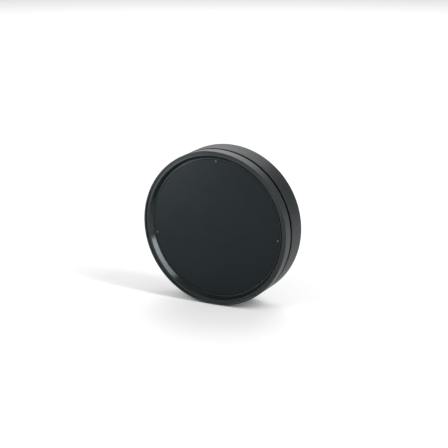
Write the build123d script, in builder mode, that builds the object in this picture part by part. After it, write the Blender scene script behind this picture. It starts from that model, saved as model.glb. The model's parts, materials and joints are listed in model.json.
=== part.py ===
"""Flat survey prism: a ring of glass corner cubes in a round housing, under a push-on cover.

The axis lies along Y. The glass faces -Y and the pole thread opens at +Y, with +Z up. The
origin is the middle of the back face. Heights are measured forward from that face, along -Y.
"""

import os
from math import cos, radians, sin, sqrt

from build123d import *

os.makedirs("parts", exist_ok=True)

# ---- Driving sizes, in millimetres and degrees ----------------------------------------------

# Corner cubes: half-inch glass, cut so that a short round rim stands above the facets
CUBE_COUNT = 8
CUBE_RADIUS = 6.35
CUBE_RIM = 0.62
CUBE_EDGE_CHAMFER = 0.15
APEX_GAP = 0.4
CUSHION_THICKNESS = 0.35
CUSHION_BOTTOM_RADIUS = 2.6
CUSHION_TOP_INSET = 1.15
POCKET_RELIEF_RADIUS = 1.2
POCKET_WALL = 2.0
HUB_WALL = 2.0
HOLDER_WALL = 1.1

# Thread insert (5/8 in - 11 pole thread, modelled at its tapping size)
THREAD_BORE_RADIUS = 6.75
THREAD_FLOOR = 1.6
INSERT_WALL = 3.75
INSERT_FLANGE_WIDTH = 3.9
INSERT_FLANGE_THICKNESS = 1.8
INSERT_SEAL_OFFSET = 1.1
INSERT_SEAL_SECTION = 0.44
DOWEL_RADIUS = 0.6
DOWEL_LENGTH = 3.0
DOWEL_OFFSET = 2.7
DOWEL_DEPTH_IN_FLANGE = 1.0

# Housing, back and front plates
HOUSING_WALL = 4.58
BACK_EDGE_CHAMFER = 0.5
GROOVE_EDGE_CHAMFER = 0.25
HOLDER_BOTTOM_GAP = 0.3
FLANGE_THICKNESS = 1.4
FLANGE_LEDGE = 3.0
BACK_PLATE_THICKNESS = 1.5
BACK_PLATE_MARGIN = 0.5
BACK_PLATE_CHAMFER = 0.2
BACK_GASKET_THICKNESS = 0.3
BACK_GASKET_MARGIN = 0.2
PRISM_GASKET_THICKNESS = 0.3
CLAMP_PLATE_THICKNESS = 0.8
APERTURE_LIP = 0.45
AIMING_DISC_RADIUS = 9.0

# Screws
BACK_SCREW_COUNT = 4
BACK_SCREW_HEAD_RADIUS = 1.8
BACK_SCREW_SHANK_RADIUS = 0.95
BACK_SCREW_LENGTH = 5.6
BACK_SCREW_INSET = 2.2
CLAMP_SCREW_HEAD_RADIUS = 1.4
CLAMP_SCREW_SHANK_RADIUS = 0.8
CLAMP_SCREW_LENGTH = 4.2
CLAMP_SCREW_INSET = 2.4
DISC_SCREW_HEAD_RADIUS = 1.8
DISC_SCREW_SHANK_RADIUS = 0.95
DISC_SCREW_LENGTH = 2.2
SOCKET_SHARE = 0.55
SOCKET_DEPTH = 0.5

# Cover
CAP_THICKNESS = 5.0
GROOVE_WIDTH = 1.5
SPIGOT_GAP = 0.7
SPIGOT_WALL = 2.6
SPIGOT_LENGTH = 4.2
LIP_WIDTH = 2.15
LIP_CREST = 0.85
LIP_OUTER_FILLET = 0.25
LIP_INNER_FILLET = 0.15
BEVEL_WIDTH = 1.2
BEVEL_TOP_DROP = 0.6
RECESS_DEPTH = 2.4
LEDGE_WIDTH = 0.65
LEDGE_STEP = 0.1
LEDGE_GROOVE_WIDTH = 0.2
LEDGE_GROOVE_DEPTH = 0.25
FACE_THICKNESS = 0.8
FACE_EDGE_CHAMFER = 0.12
FACE_GAP = 0.15
PIN_RADIUS = 0.45
PIN_DEPTH_IN_RING = 1.5
PIN_STAND_OUT = 0.1
PIN_INSET = 0.7
PIN_ANGLES = (90.0, 191.0, 356.0)
LINER_THICKNESS = 0.5
LINER_EDGE_GAP = 0.7
LINER_FRONT_GAP = 0.2
O_RING_SECTION = 0.6
O_RING_TIP_LAND = 0.6
O_RING_GROOVE_WIDTH = 1.4
GROOVE_SEAL_SETBACK = 1.6

# Clearances
RUNNING_CLEARANCE = 0.1
LOCATING_CLEARANCE = 0.1
CUBE_CLEARANCE = 0.1
SCREW_CLEARANCE = 0.05
SEAL_CLEARANCE = 0.02
SEAL_FACE_CLEARANCE = 0.05
STEP_GAP = 0.4

# ---- Sizes that follow ----------------------------------------------------------------------

# A cube's three facets meet the axis at the angle of a cube's body diagonal, so the cone that
# its edges lie on grows by sqrt(2) in radius for each unit of height above the apex, and the
# middle of a facet reaches the rim's radius at sqrt(2) times that radius.
EDGE_CONE_SLOPE = sqrt(2)

# Radii, from the middle outwards
insert_radius = THREAD_BORE_RADIUS + INSERT_WALL
insert_hole_radius = insert_radius + LOCATING_CLEARANCE
insert_flange_radius = insert_radius + INSERT_FLANGE_WIDTH
insert_seal_circle_radius = insert_radius + INSERT_SEAL_OFFSET
dowel_circle_radius = insert_radius + DOWEL_OFFSET
pocket_radius = CUBE_RADIUS + CUBE_CLEARANCE
aperture_radius = CUBE_RADIUS - APERTURE_LIP
disc_hole_radius = AIMING_DISC_RADIUS + LOCATING_CLEARANCE
cube_circle_radius = max(
    (pocket_radius + POCKET_WALL / 2) / sin(radians(180 / CUBE_COUNT)),
    insert_hole_radius + HUB_WALL + pocket_radius,
)
holder_radius = cube_circle_radius + pocket_radius + HOLDER_WALL
holder_bore_radius = holder_radius + LOCATING_CLEARANCE
flange_inner_radius = holder_radius - FLANGE_LEDGE
back_plate_radius = holder_radius + BACK_PLATE_MARGIN
back_pocket_radius = back_plate_radius + LOCATING_CLEARANCE
back_screw_circle_radius = back_plate_radius - BACK_SCREW_INSET
clamp_screw_circle_radius = holder_radius - CLAMP_SCREW_INSET
spigot_inner_radius = holder_radius + SPIGOT_GAP
spigot_radius = spigot_inner_radius + SPIGOT_WALL
spigot_bore_radius = spigot_radius + RUNNING_CLEARANCE
o_ring_centre_radius = spigot_bore_radius - SEAL_CLEARANCE - O_RING_SECTION
o_ring_groove_floor = o_ring_centre_radius - O_RING_SECTION - SEAL_CLEARANCE
body_radius = spigot_bore_radius + HOUSING_WALL
lip_inner_radius = body_radius - LIP_CREST
bevel_top_radius = body_radius - LIP_WIDTH
bevel_base_radius = bevel_top_radius - BEVEL_WIDTH
face_recess_radius = bevel_base_radius - LEDGE_WIDTH
face_radius = face_recess_radius - FACE_GAP
pin_circle_radius = face_radius - PIN_INSET
liner_radius = spigot_inner_radius - LINER_EDGE_GAP

# Heights, from the back face forward
gasket_top = BACK_PLATE_THICKNESS + BACK_GASKET_THICKNESS
flange_top = gasket_top + FLANGE_THICKNESS
holder_bottom = BACK_PLATE_THICKNESS + HOLDER_BOTTOM_GAP
insert_flange_top = BACK_PLATE_THICKNESS + INSERT_FLANGE_THICKNESS
cube_height = EDGE_CONE_SLOPE * CUBE_RADIUS + CUBE_RIM
cube_apex = BACK_PLATE_THICKNESS + APEX_GAP
holder_top = cube_apex + cube_height
thread_bottom = holder_top - THREAD_FLOOR
clamp_bottom = holder_top + PRISM_GASKET_THICKNESS
clamp_top = clamp_bottom + CLAMP_PLATE_THICKNESS
face_bottom = clamp_top + LINER_FRONT_GAP + LINER_THICKNESS
face_top = face_bottom + FACE_THICKNESS
ledge_top = face_top + LEDGE_STEP
overall_thickness = ledge_top + RECESS_DEPTH
bevel_top = overall_thickness - BEVEL_TOP_DROP
cap_bottom = overall_thickness - CAP_THICKNESS
housing_thickness = cap_bottom - GROOVE_WIDTH
spigot_tip = cap_bottom - SPIGOT_LENGTH
spigot_step = spigot_tip - STEP_GAP
o_ring_height = spigot_tip + O_RING_TIP_LAND + O_RING_GROOVE_WIDTH / 2

# Screw heads are 90 degree cones, and screws stand in the gaps between the cubes
back_screw_head_height = BACK_SCREW_HEAD_RADIUS - BACK_SCREW_SHANK_RADIUS
clamp_screw_head_height = CLAMP_SCREW_HEAD_RADIUS - CLAMP_SCREW_SHANK_RADIUS
disc_screw_head_height = DISC_SCREW_HEAD_RADIUS - DISC_SCREW_SHANK_RADIUS
cube_pitch_angle = 360 / CUBE_COUNT
cube_angles = [cube_pitch_angle * (index + 0.5) for index in range(CUBE_COUNT)]

# ---- Planes ---------------------------------------------------------------------------------

# Outlines are drawn as (radius, height forward) and turned about Y.
SECTION = Plane(origin=(0, 0, 0), x_dir=(1, 0, 0), z_dir=(0, 0, -1))


def forward_plane(height: float) -> Plane:
    """Plane across the axis at a height, facing forward, with +X right and +Z up."""
    return Plane(origin=(0, -height, 0), x_dir=(1, 0, 0), z_dir=(0, -1, 0))


def on_circle(radius: float, angle: float, height: float) -> Vector:
    """Point at a radius and an angle seen from the front, at a height."""
    return Vector(radius * cos(radians(angle)), -height, radius * sin(radians(angle)))


# ---- Housing --------------------------------------------------------------------------------

with BuildPart() as housing_shell:
    with BuildSketch(SECTION):
        with BuildLine():
            Polyline(
                (back_pocket_radius, 0),
                (body_radius, 0),
                (body_radius, housing_thickness),
                (spigot_bore_radius, housing_thickness),
                (spigot_bore_radius, spigot_step),
                (holder_bore_radius, spigot_step),
                (holder_bore_radius, flange_top),
                (flange_inner_radius, flange_top),
                (flange_inner_radius, gasket_top),
                (back_pocket_radius, gasket_top),
                close=True,
            )
        make_face()
    revolve(axis=Axis.Y)
    outer_edges = housing_shell.edges().filter_by(GeomType.CIRCLE).group_by(SortBy.RADIUS)[-1]
    chamfer(outer_edges.sort_by(Axis.Y)[-1], BACK_EDGE_CHAMFER)
    chamfer(outer_edges.sort_by(Axis.Y)[0], GROOVE_EDGE_CHAMFER)
    with BuildSketch(forward_plane(gasket_top)):
        with PolarLocations(back_screw_circle_radius, BACK_SCREW_COUNT, start_angle=cube_pitch_angle):
            Circle(BACK_SCREW_SHANK_RADIUS + SCREW_CLEARANCE)
    extrude(amount=FLANGE_THICKNESS, mode=Mode.SUBTRACT)

housing_shell.part.label = "housing_shell"
export_step(housing_shell.part, "parts/housing_shell.step")

# ---- Back plate, its gasket and screws ------------------------------------------------------

with BuildPart() as back_plate:
    with BuildSketch(forward_plane(0)):
        Circle(back_plate_radius)
        Circle(insert_hole_radius, mode=Mode.SUBTRACT)
        with PolarLocations(back_screw_circle_radius, BACK_SCREW_COUNT, start_angle=cube_pitch_angle):
            Circle(BACK_SCREW_SHANK_RADIUS + SCREW_CLEARANCE, mode=Mode.SUBTRACT)
    extrude(amount=BACK_PLATE_THICKNESS)
    rim = back_plate.faces().sort_by(Axis.Y)[-1].edges().sort_by(SortBy.RADIUS)[-1]
    chamfer(rim, BACK_PLATE_CHAMFER)
    with BuildSketch(forward_plane(0)):
        with PolarLocations(back_screw_circle_radius, BACK_SCREW_COUNT, start_angle=cube_pitch_angle):
            Circle(BACK_SCREW_HEAD_RADIUS + SCREW_CLEARANCE)
    extrude(amount=back_screw_head_height, taper=45, mode=Mode.SUBTRACT)

back_plate.part.label = "back_plate"
export_step(back_plate.part, "parts/back_plate.step")

with BuildPart() as back_gasket:
    with BuildSketch(forward_plane(BACK_PLATE_THICKNESS)):
        Circle(back_plate_radius - BACK_GASKET_MARGIN)
        Circle(flange_inner_radius + BACK_GASKET_MARGIN, mode=Mode.SUBTRACT)
        with PolarLocations(back_screw_circle_radius, BACK_SCREW_COUNT, start_angle=cube_pitch_angle):
            Circle(BACK_SCREW_SHANK_RADIUS + SCREW_CLEARANCE, mode=Mode.SUBTRACT)
    extrude(amount=BACK_GASKET_THICKNESS)

back_gasket.part.label = "back_gasket"
export_step(back_gasket.part, "parts/back_gasket.step")

with BuildPart(forward_plane(0)) as back_screws:
    with PolarLocations(back_screw_circle_radius, BACK_SCREW_COUNT, start_angle=cube_pitch_angle):
        Cone(
            BACK_SCREW_HEAD_RADIUS,
            BACK_SCREW_SHANK_RADIUS,
            back_screw_head_height,
            align=(Align.CENTER, Align.CENTER, Align.MIN),
        )
        Cylinder(
            BACK_SCREW_SHANK_RADIUS,
            BACK_SCREW_LENGTH,
            align=(Align.CENTER, Align.CENTER, Align.MIN),
        )
    with BuildSketch(forward_plane(0)):
        with PolarLocations(back_screw_circle_radius, BACK_SCREW_COUNT, start_angle=cube_pitch_angle):
            RegularPolygon(BACK_SCREW_HEAD_RADIUS * SOCKET_SHARE, 6)
    extrude(amount=SOCKET_DEPTH, mode=Mode.SUBTRACT)

back_screws.part.label = "back_screws"
export_step(back_screws.part, "parts/back_screws.step")

# ---- Thread insert, its seal and dowels -----------------------------------------------------

seal_groove_half_width = INSERT_SEAL_SECTION + LOCATING_CLEARANCE
seal_groove_depth = 2 * INSERT_SEAL_SECTION + SEAL_CLEARANCE

with BuildPart() as mount_insert:
    with BuildSketch(SECTION):
        with BuildLine():
            Polyline(
                (THREAD_BORE_RADIUS, 0),
                (insert_radius, 0),
                (insert_radius, BACK_PLATE_THICKNESS),
                (insert_flange_radius, BACK_PLATE_THICKNESS),
                (insert_flange_radius, insert_flange_top),
                (insert_radius, insert_flange_top),
                (insert_radius, holder_top),
                (0, holder_top),
                (0, thread_bottom),
                (THREAD_BORE_RADIUS, thread_bottom),
                close=True,
            )
        make_face()
    revolve(axis=Axis.Y)
    with BuildSketch(forward_plane(BACK_PLATE_THICKNESS)):
        Circle(insert_seal_circle_radius + seal_groove_half_width)
        Circle(insert_seal_circle_radius - seal_groove_half_width, mode=Mode.SUBTRACT)
    extrude(amount=seal_groove_depth, mode=Mode.SUBTRACT)
    with BuildSketch(forward_plane(insert_flange_top)):
        with PolarLocations(dowel_circle_radius, 2):
            Circle(DOWEL_RADIUS + SEAL_CLEARANCE)
    extrude(amount=-DOWEL_DEPTH_IN_FLANGE, mode=Mode.SUBTRACT)
    with BuildSketch(forward_plane(holder_top)):
        Circle(DISC_SCREW_SHANK_RADIUS + SCREW_CLEARANCE)
    extrude(amount=clamp_top - DISC_SCREW_LENGTH - holder_top, mode=Mode.SUBTRACT)

mount_insert.part.label = "mount_insert"
export_step(mount_insert.part, "parts/mount_insert.step")

with BuildPart(forward_plane(BACK_PLATE_THICKNESS + INSERT_SEAL_SECTION)) as insert_o_ring:
    Torus(insert_seal_circle_radius, INSERT_SEAL_SECTION)

insert_o_ring.part.label = "insert_o_ring"
export_step(insert_o_ring.part, "parts/insert_o_ring.step")

with BuildPart() as insert_dowels:
    with BuildSketch(forward_plane(insert_flange_top - DOWEL_DEPTH_IN_FLANGE)):
        with PolarLocations(dowel_circle_radius, 2):
            Circle(DOWEL_RADIUS)
    extrude(amount=DOWEL_LENGTH)

insert_dowels.part.label = "insert_dowels"
export_step(insert_dowels.part, "parts/insert_dowels.step")

# ---- Prism holder ---------------------------------------------------------------------------

cushion_top_radius = CUBE_RADIUS - CUSHION_TOP_INSET
cone_edge_height = cube_apex + (pocket_radius - CUSHION_THICKNESS) / EDGE_CONE_SLOPE

with BuildPart() as prism_holder:
    with BuildSketch(SECTION):
        with BuildLine():
            Polyline(
                (insert_flange_radius + LOCATING_CLEARANCE, holder_bottom),
                (flange_inner_radius - LOCATING_CLEARANCE, holder_bottom),
                (flange_inner_radius - LOCATING_CLEARANCE, flange_top),
                (holder_radius, flange_top),
                (holder_radius, holder_top),
                (insert_hole_radius, holder_top),
                (insert_hole_radius, insert_flange_top),
                (insert_flange_radius + LOCATING_CLEARANCE, insert_flange_top),
                close=True,
            )
        make_face()
    revolve(axis=Axis.Y)
    for angle in cube_angles:
        pocket_foot = on_circle(cube_circle_radius, angle, 0)
        with BuildSketch(Plane(origin=pocket_foot, x_dir=(1, 0, 0), z_dir=(0, 0, -1))):
            with BuildLine():
                Polyline(
                    (0, 0),
                    (POCKET_RELIEF_RADIUS, 0),
                    (
                        POCKET_RELIEF_RADIUS,
                        cube_apex + (POCKET_RELIEF_RADIUS - CUSHION_THICKNESS) / EDGE_CONE_SLOPE,
                    ),
                    (pocket_radius, cone_edge_height),
                    (pocket_radius, holder_top + 1),
                    (0, holder_top + 1),
                    close=True,
                )
            make_face()
        revolve(axis=Axis(pocket_foot, (0, 1, 0)), mode=Mode.SUBTRACT)
    with BuildSketch(forward_plane(flange_top)):
        with PolarLocations(back_screw_circle_radius, BACK_SCREW_COUNT, start_angle=cube_pitch_angle):
            Circle(BACK_SCREW_SHANK_RADIUS + SCREW_CLEARANCE)
    extrude(amount=BACK_SCREW_LENGTH + STEP_GAP - flange_top, mode=Mode.SUBTRACT)
    with BuildSketch(forward_plane(holder_top)):
        with PolarLocations(clamp_screw_circle_radius, CUBE_COUNT):
            Circle(CLAMP_SCREW_SHANK_RADIUS + SCREW_CLEARANCE)
    extrude(
        amount=clamp_top - CLAMP_SCREW_LENGTH - STEP_GAP - holder_top,
        mode=Mode.SUBTRACT,
    )
    with BuildSketch(forward_plane(insert_flange_top)):
        with PolarLocations(dowel_circle_radius, 2):
            Circle(DOWEL_RADIUS + SEAL_CLEARANCE)
    extrude(amount=DOWEL_LENGTH - DOWEL_DEPTH_IN_FLANGE + STEP_GAP, mode=Mode.SUBTRACT)

prism_holder.part.label = "prism_holder"
export_step(prism_holder.part, "parts/prism_holder.step")

# ---- Corner cubes and their cushions --------------------------------------------------------

for index, angle in enumerate(cube_angles, start=1):
    cube_foot = on_circle(cube_circle_radius, angle, 0)
    apex_point = on_circle(cube_circle_radius, angle, cube_apex)
    with BuildPart() as corner_cube:
        with BuildSketch(Plane(origin=apex_point, x_dir=(1, 0, 0), z_dir=(0, -1, 0))):
            Circle(CUBE_RADIUS)
        extrude(amount=cube_height)
        for facet in range(3):
            turn = radians(angle + 120 * facet)
            facet_normal = (
                -sqrt(2 / 3) * cos(turn),
                -sqrt(1 / 3),
                -sqrt(2 / 3) * sin(turn),
            )
            split(bisect_by=Plane(origin=apex_point, z_dir=facet_normal), keep=Keep.TOP)
        chamfer(corner_cube.faces().sort_by(Axis.Y)[0].edges(), CUBE_EDGE_CHAMFER)
    corner_cube.part.label = f"corner_cube_{index}"
    export_step(corner_cube.part, f"parts/corner_cube_{index}.step")

    with BuildPart() as prism_cushion:
        with BuildSketch(Plane(origin=cube_foot, x_dir=(1, 0, 0), z_dir=(0, 0, -1))):
            with BuildLine():
                Polyline(
                    (
                        CUSHION_BOTTOM_RADIUS + SEAL_CLEARANCE,
                        cube_apex + CUSHION_BOTTOM_RADIUS / EDGE_CONE_SLOPE,
                    ),
                    (
                        CUSHION_BOTTOM_RADIUS + CUSHION_THICKNESS - SEAL_CLEARANCE,
                        cube_apex + CUSHION_BOTTOM_RADIUS / EDGE_CONE_SLOPE,
                    ),
                    (
                        cushion_top_radius + CUSHION_THICKNESS - SEAL_CLEARANCE,
                        cube_apex + cushion_top_radius / EDGE_CONE_SLOPE,
                    ),
                    (
                        cushion_top_radius + SEAL_CLEARANCE,
                        cube_apex + cushion_top_radius / EDGE_CONE_SLOPE,
                    ),
                    close=True,
                )
            make_face()
        revolve(axis=Axis(cube_foot, (0, 1, 0)))
    prism_cushion.part.label = f"prism_cushion_{index}"
    export_step(prism_cushion.part, f"parts/prism_cushion_{index}.step")

# ---- Front gasket, clamp plate and screws ---------------------------------------------------

with BuildPart() as prism_gasket:
    with BuildSketch(forward_plane(holder_top)):
        Circle(holder_radius)
        Circle(disc_hole_radius, mode=Mode.SUBTRACT)
        with PolarLocations(cube_circle_radius, CUBE_COUNT, start_angle=cube_pitch_angle / 2):
            Circle(aperture_radius, mode=Mode.SUBTRACT)
        with PolarLocations(clamp_screw_circle_radius, CUBE_COUNT):
            Circle(CLAMP_SCREW_SHANK_RADIUS + SCREW_CLEARANCE, mode=Mode.SUBTRACT)
    extrude(amount=PRISM_GASKET_THICKNESS)

prism_gasket.part.label = "prism_gasket"
export_step(prism_gasket.part, "parts/prism_gasket.step")

with BuildPart() as clamp_plate:
    with BuildSketch(forward_plane(clamp_bottom)):
        Circle(holder_radius)
        Circle(disc_hole_radius, mode=Mode.SUBTRACT)
        with PolarLocations(cube_circle_radius, CUBE_COUNT, start_angle=cube_pitch_angle / 2):
            Circle(aperture_radius, mode=Mode.SUBTRACT)
        with PolarLocations(clamp_screw_circle_radius, CUBE_COUNT):
            Circle(CLAMP_SCREW_SHANK_RADIUS + SCREW_CLEARANCE, mode=Mode.SUBTRACT)
    extrude(amount=CLAMP_PLATE_THICKNESS)
    front_face = clamp_plate.faces().sort_by(Axis.Y)[0]
    aperture_edges = front_face.edges().filter_by(
        lambda edge: abs(edge.radius - aperture_radius) < 1e-6
    )
    chamfer(aperture_edges, CLAMP_PLATE_THICKNESS / 2)
    with BuildSketch(forward_plane(clamp_top)):
        with PolarLocations(clamp_screw_circle_radius, CUBE_COUNT):
            Circle(CLAMP_SCREW_HEAD_RADIUS + SCREW_CLEARANCE)
    extrude(amount=-clamp_screw_head_height, taper=45, mode=Mode.SUBTRACT)

clamp_plate.part.label = "clamp_plate"
export_step(clamp_plate.part, "parts/clamp_plate.step")

with BuildPart(forward_plane(clamp_top)) as clamp_screws:
    with PolarLocations(clamp_screw_circle_radius, CUBE_COUNT):
        Cone(
            CLAMP_SCREW_SHANK_RADIUS,
            CLAMP_SCREW_HEAD_RADIUS,
            clamp_screw_head_height,
            align=(Align.CENTER, Align.CENTER, Align.MAX),
        )
        Cylinder(
            CLAMP_SCREW_SHANK_RADIUS,
            CLAMP_SCREW_LENGTH,
            align=(Align.CENTER, Align.CENTER, Align.MAX),
        )
    with BuildSketch(forward_plane(clamp_top)):
        with PolarLocations(clamp_screw_circle_radius, CUBE_COUNT):
            RegularPolygon(CLAMP_SCREW_HEAD_RADIUS * SOCKET_SHARE, 6)
    extrude(amount=-SOCKET_DEPTH, mode=Mode.SUBTRACT)

clamp_screws.part.label = "clamp_screws"
export_step(clamp_screws.part, "parts/clamp_screws.step")

# ---- Aiming disc and its screw --------------------------------------------------------------

with BuildPart() as aiming_disc:
    with BuildSketch(forward_plane(holder_top)):
        Circle(AIMING_DISC_RADIUS)
        Circle(DISC_SCREW_SHANK_RADIUS + SCREW_CLEARANCE, mode=Mode.SUBTRACT)
    extrude(amount=clamp_top - holder_top)
    with BuildSketch(forward_plane(clamp_top)):
        Circle(DISC_SCREW_HEAD_RADIUS + SCREW_CLEARANCE)
    extrude(amount=-disc_screw_head_height, taper=45, mode=Mode.SUBTRACT)

aiming_disc.part.label = "aiming_disc"
export_step(aiming_disc.part, "parts/aiming_disc.step")

with BuildPart(forward_plane(clamp_top)) as aiming_disc_screw:
    Cone(
        DISC_SCREW_SHANK_RADIUS,
        DISC_SCREW_HEAD_RADIUS,
        disc_screw_head_height,
        align=(Align.CENTER, Align.CENTER, Align.MAX),
    )
    Cylinder(
        DISC_SCREW_SHANK_RADIUS,
        DISC_SCREW_LENGTH,
        align=(Align.CENTER, Align.CENTER, Align.MAX),
    )
    with BuildSketch(forward_plane(clamp_top)):
        RegularPolygon(DISC_SCREW_HEAD_RADIUS * SOCKET_SHARE, 6)
    extrude(amount=-SOCKET_DEPTH, mode=Mode.SUBTRACT)

aiming_disc_screw.part.label = "aiming_disc_screw"
export_step(aiming_disc_screw.part, "parts/aiming_disc_screw.step")

# ---- Cover ring -----------------------------------------------------------------------------

groove_half_width = O_RING_GROOVE_WIDTH / 2
ledge_radius = bevel_base_radius - LEDGE_GROOVE_WIDTH

with BuildPart() as cap_ring:
    with BuildSketch(SECTION):
        with BuildLine():
            Polyline(
                (spigot_inner_radius, spigot_tip),
                (spigot_radius, spigot_tip),
                (spigot_radius, o_ring_height - groove_half_width),
                (o_ring_groove_floor, o_ring_height - groove_half_width),
                (o_ring_groove_floor, o_ring_height + groove_half_width),
                (spigot_radius, o_ring_height + groove_half_width),
                (spigot_radius, cap_bottom),
                (body_radius, cap_bottom),
                (body_radius, overall_thickness),
                (lip_inner_radius, overall_thickness),
                (lip_inner_radius, bevel_top),
                (bevel_top_radius, bevel_top),
                (bevel_base_radius, ledge_top),
                (bevel_base_radius, ledge_top - LEDGE_GROOVE_DEPTH),
                (ledge_radius, ledge_top - LEDGE_GROOVE_DEPTH),
                (ledge_radius, ledge_top),
                (face_recess_radius, ledge_top),
                (face_recess_radius, face_bottom),
                (spigot_inner_radius, face_bottom),
                close=True,
            )
        make_face()
    revolve(axis=Axis.Y)
    lip_edges = cap_ring.edges().filter_by(GeomType.CIRCLE).group_by(Axis.Y)[0]
    inner_lip_edge, outer_lip_edge = lip_edges.sort_by(SortBy.RADIUS)
    fillet(outer_lip_edge, LIP_OUTER_FILLET)
    fillet(inner_lip_edge, LIP_INNER_FILLET)
    outer_edges = cap_ring.edges().filter_by(GeomType.CIRCLE).group_by(SortBy.RADIUS)[-1]
    chamfer(outer_edges.sort_by(Axis.Y)[-1], GROOVE_EDGE_CHAMFER)
    with BuildSketch(forward_plane(face_bottom)):
        for angle in PIN_ANGLES:
            with PolarLocations(pin_circle_radius, 1, start_angle=angle):
                Circle(PIN_RADIUS)
    extrude(amount=-PIN_DEPTH_IN_RING, mode=Mode.SUBTRACT)

cap_ring.part.label = "cap_ring"
export_step(cap_ring.part, "parts/cap_ring.step")

# ---- Cover face, pins and liner -------------------------------------------------------------

with BuildPart() as cap_face:
    with BuildSketch(forward_plane(face_bottom)):
        Circle(face_radius)
        for angle in PIN_ANGLES:
            with PolarLocations(pin_circle_radius, 1, start_angle=angle):
                Circle(PIN_RADIUS, mode=Mode.SUBTRACT)
    extrude(amount=FACE_THICKNESS)
    rim = cap_face.faces().sort_by(Axis.Y)[0].edges().sort_by(SortBy.RADIUS)[-1]
    chamfer(rim, FACE_EDGE_CHAMFER)

cap_face.part.label = "cap_face"
export_step(cap_face.part, "parts/cap_face.step")

with BuildPart() as cap_face_pins:
    with BuildSketch(forward_plane(face_bottom - PIN_DEPTH_IN_RING)):
        for angle in PIN_ANGLES:
            with PolarLocations(pin_circle_radius, 1, start_angle=angle):
                Circle(PIN_RADIUS)
    extrude(amount=PIN_DEPTH_IN_RING + FACE_THICKNESS + PIN_STAND_OUT)
    fillet(cap_face_pins.edges().group_by(Axis.Y)[0], PIN_STAND_OUT * 0.9)

cap_face_pins.part.label = "cap_face_pins"
export_step(cap_face_pins.part, "parts/cap_face_pins.step")

with BuildPart() as cap_liner:
    with BuildSketch(forward_plane(face_bottom)):
        Circle(liner_radius)
    extrude(amount=-LINER_THICKNESS)

cap_liner.part.label = "cap_liner"
export_step(cap_liner.part, "parts/cap_liner.step")

# ---- Cover seals ----------------------------------------------------------------------------

with BuildPart(forward_plane(o_ring_height)) as cap_o_ring:
    Torus(o_ring_centre_radius, O_RING_SECTION)

cap_o_ring.part.label = "cap_o_ring"
export_step(cap_o_ring.part, "parts/cap_o_ring.step")

with BuildPart() as cap_gasket:
    with BuildSketch(forward_plane(housing_thickness + SEAL_FACE_CLEARANCE)):
        Circle(body_radius - GROOVE_SEAL_SETBACK)
        Circle(spigot_radius + SEAL_FACE_CLEARANCE, mode=Mode.SUBTRACT)
    extrude(amount=GROOVE_WIDTH - SEAL_FACE_CLEARANCE)

cap_gasket.part.label = "cap_gasket"
export_step(cap_gasket.part, "parts/cap_gasket.step")
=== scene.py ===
"""Flat survey prism: a ring of glass corner cubes under a push-on cover, in a plain studio.

Radii and heights are in millimetres until a mesh is made. Heights run forward from the back
face, along -Y, and angles run from +X towards +Z, as seen from the front.
"""

from __future__ import annotations

import json
import logging
import math
from abc import ABC, abstractmethod
from collections.abc import Iterable, Sequence
from dataclasses import dataclass
from enum import Enum
from functools import cache
from typing import Any

import bpy
import numpy as np
from mathutils import Matrix, Vector

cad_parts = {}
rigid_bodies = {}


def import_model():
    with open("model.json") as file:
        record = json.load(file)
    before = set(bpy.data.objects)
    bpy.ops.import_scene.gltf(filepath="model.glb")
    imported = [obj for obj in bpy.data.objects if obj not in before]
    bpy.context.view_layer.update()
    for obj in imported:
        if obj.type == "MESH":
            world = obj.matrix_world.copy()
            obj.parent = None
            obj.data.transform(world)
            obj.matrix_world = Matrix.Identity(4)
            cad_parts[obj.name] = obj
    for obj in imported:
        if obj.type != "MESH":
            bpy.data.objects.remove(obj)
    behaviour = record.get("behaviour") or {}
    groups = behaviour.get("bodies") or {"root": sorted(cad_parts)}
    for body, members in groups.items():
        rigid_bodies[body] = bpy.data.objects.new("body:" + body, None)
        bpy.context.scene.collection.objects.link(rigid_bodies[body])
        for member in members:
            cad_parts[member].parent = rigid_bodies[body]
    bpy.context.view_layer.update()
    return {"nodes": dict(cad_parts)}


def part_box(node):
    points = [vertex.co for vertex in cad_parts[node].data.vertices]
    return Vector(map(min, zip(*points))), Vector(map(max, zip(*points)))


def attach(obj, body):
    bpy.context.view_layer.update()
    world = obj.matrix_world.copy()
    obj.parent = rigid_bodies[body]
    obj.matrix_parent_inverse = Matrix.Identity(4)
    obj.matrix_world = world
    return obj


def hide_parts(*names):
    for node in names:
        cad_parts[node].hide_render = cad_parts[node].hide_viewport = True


MM = 0.001
TAU = 2 * math.pi
SHARP_ANGLE = math.radians(28)
SEAL_CLEARANCE = 0.02
LOG = logging.getLogger("survey_prism")

Colour = tuple[float, float, float]


# ---- Nodes ----------------------------------------------------------------------------------


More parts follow.
